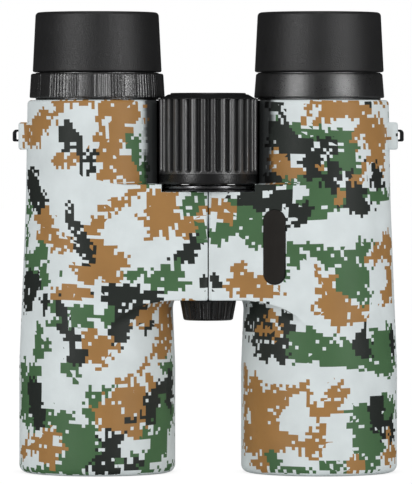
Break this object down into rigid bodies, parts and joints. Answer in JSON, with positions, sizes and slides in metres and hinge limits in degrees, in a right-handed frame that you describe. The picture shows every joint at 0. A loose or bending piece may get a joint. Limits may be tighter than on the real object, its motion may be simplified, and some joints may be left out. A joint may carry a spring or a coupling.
{
  "type": "binocular",
  "caption": "Upright roof-prism binocular in camouflage rubber armour, with folding hinge, fluted focus wheel, twist-up eyecups, diopter ring and tripod socket cap.",
  "frame": {"origin": "midway between the two barrel axes, in the plane of the objective rims the binocular stands on", "axes": "+Z along the barrels towards the eyecups; -Y is the side with the focus wheel; +X is the side of the user's left eye"},
  "size_m": [0.1302, 0.0519, 0.1532],
  "materials": {
    "armour_rubber": "satin camouflage print",
    "shell_plastic": "matte black",
    "black_rubber": "matte black",
    "satin_black": "satin black, fine grain",
    "black_metal": "black anodised",
    "bright_metal": "polished",
    "steel": "machined",
    "brass": "machined",
    "badge": "smooth, blank",
    "coated_glass": "anti-reflection coated",
    "clear_glass": "polished"
  },
  "bodies": {
    "left_barrel": {"left_body_shell": "shell_plastic", "left_armour": "armour_rubber", "left_objective_cell": "black_metal", "left_objective_front_lens": "coated_glass", "left_objective_rear_lens": "clear_glass", "left_objective_ring": "black_metal", "left_prism_cage": "shell_plastic", "left_half_penta_prism": "clear_glass", "left_roof_prism": "clear_glass", "left_eyepiece_tube": "shell_plastic", "left_eye_lens": "coated_glass", "left_eye_lens_ring": "black_metal", "left_strap_loop": "black_metal", "left_field_lens": "clear_glass", "left_eyepiece_ring": "satin_black", "left_badge_inlay": "badge", "hinge_shaft": "steel", "focus_collar": "black_metal", "focus_collar_ring": "bright_metal", "tripod_socket": "brass"},
    "right_barrel": {"right_body_shell": "shell_plastic", "right_armour": "armour_rubber", "right_objective_cell": "black_metal", "right_objective_front_lens": "coated_glass", "right_objective_rear_lens": "clear_glass", "right_objective_ring": "black_metal", "right_prism_cage": "shell_plastic", "right_half_penta_prism": "clear_glass", "right_roof_prism": "clear_glass", "right_eyepiece_tube": "shell_plastic", "right_eye_lens": "coated_glass", "right_eye_lens_ring": "black_metal", "right_strap_loop": "black_metal", "hinge_bush": "brass"},
    "focus_wheel": {"focus_wheel_core": "satin_black", "focus_wheel_grip": "black_rubber", "focus_wheel_disc": "satin_black", "focus_screw": "steel"},
    "focus_carriage": {"focus_nut": "brass", "focus_pin": "steel", "focus_carriage": "black_metal"},
    "left_focus": {"left_focus_cell": "black_metal", "left_focus_lens": "clear_glass"},
    "right_focus": {"right_focus_cell": "black_metal", "right_focus_lens": "clear_glass"},
    "diopter_ring": {"right_diopter_ring": "satin_black"},
    "diopter_cell": {"right_diopter_cell": "black_metal", "right_diopter_pin": "steel", "right_field_lens": "clear_glass"},
    "left_eyecup_sleeve": {"left_eyecup_sleeve": "satin_black"},
    "left_eyecup": {"left_eyecup_core": "satin_black", "left_eyecup_rubber": "black_rubber"},
    "right_eyecup_sleeve": {"right_eyecup_sleeve": "satin_black"},
    "right_eyecup": {"right_eyecup_core": "satin_black", "right_eyecup_rubber": "black_rubber"},
    "tripod_cap_washer": {"tripod_cap_washer": "steel"},
    "tripod_cap": {"tripod_cap": "satin_black"}
  },
  "joints": [
    {"name": "interpupillary_hinge", "type": "hinge", "parent": "left_barrel", "child": "right_barrel", "pos_m": [0, -0.0095, 0.0767], "axis": [0, 0, -1], "range_deg": [0, 56]},
    {"name": "focus_wheel_turn", "type": "hinge", "parent": "left_barrel", "child": "focus_wheel", "pos_m": [0, -0.0095, 0.111], "axis": [0, 0, 1], "range_deg": [-240, 240]},
    {"name": "focus_carriage_slide", "type": "slide", "parent": "left_barrel", "child": "focus_carriage", "axis": [0, 0, 1], "range_m": [-0.002, 0.002]},
    {"name": "left_focus_lens_slide", "type": "slide", "parent": "left_barrel", "child": "left_focus", "axis": [0, 0, 1], "range_m": [-0.002, 0.002]},
    {"name": "right_focus_lens_slide", "type": "slide", "parent": "right_barrel", "child": "right_focus", "axis": [0, 0, 1], "range_m": [-0.002, 0.002]},
    {"name": "diopter_ring_turn", "type": "hinge", "parent": "right_barrel", "child": "diopter_ring", "pos_m": [-0.037, 0, 0.129], "axis": [0, 0, 1], "range_deg": [-35, 35]},
    {"name": "diopter_cell_slide", "type": "slide", "parent": "right_barrel", "child": "diopter_cell", "axis": [0, 0, 1], "range_m": [-0.0012, 0.0012]},
    {"name": "left_eyecup_turn", "type": "hinge", "parent": "left_barrel", "child": "left_eyecup_sleeve", "pos_m": [0.037, 0, 0.14], "axis": [0, 0, 1], "range_deg": [0, 120]},
    {"name": "left_eyecup_rise", "type": "slide", "parent": "left_eyecup_sleeve", "child": "left_eyecup", "axis": [0, 0, 1], "range_m": [0, 0.009]},
    {"name": "right_eyecup_turn", "type": "hinge", "parent": "right_barrel", "child": "right_eyecup_sleeve", "pos_m": [-0.037, 0, 0.14], "axis": [0, 0, 1], "range_deg": [0, 120]},
    {"name": "right_eyecup_rise", "type": "slide", "parent": "right_eyecup_sleeve", "child": "right_eyecup", "axis": [0, 0, 1], "range_m": [0, 0.009]},
    {"name": "tripod_cap_travel", "type": "slide", "parent": "left_barrel", "child": "tripod_cap_washer", "axis": [0, 0, -1], "range_m": [0, 0.00635]},
    {"name": "tripod_cap_turn", "type": "hinge", "parent": "tripod_cap_washer", "child": "tripod_cap", "pos_m": [0, -0.0095, 0.054], "axis": [0, 0, -1], "range_deg": [0, 1800]}
  ],
  "couplings": [
    {"joint": "focus_carriage_slide", "follows": "focus_wheel_turn", "m_per_rad": 0.00047746},
    {"joint": "left_focus_lens_slide", "follows": "focus_wheel_turn", "m_per_rad": 0.00047746},
    {"joint": "right_focus_lens_slide", "follows": "focus_wheel_turn", "m_per_rad": 0.00047746},
    {"joint": "diopter_cell_slide", "follows": "diopter_ring_turn", "m_per_rad": 0.0019644},
    {"joint": "left_eyecup_rise", "follows": "left_eyecup_turn", "m_per_rad": 0.0042972},
    {"joint": "right_eyecup_rise", "follows": "right_eyecup_turn", "m_per_rad": 0.0042972},
    {"joint": "tripod_cap_travel", "follows": "tripod_cap_turn", "m_per_rad": 0.00020213}
  ]
}
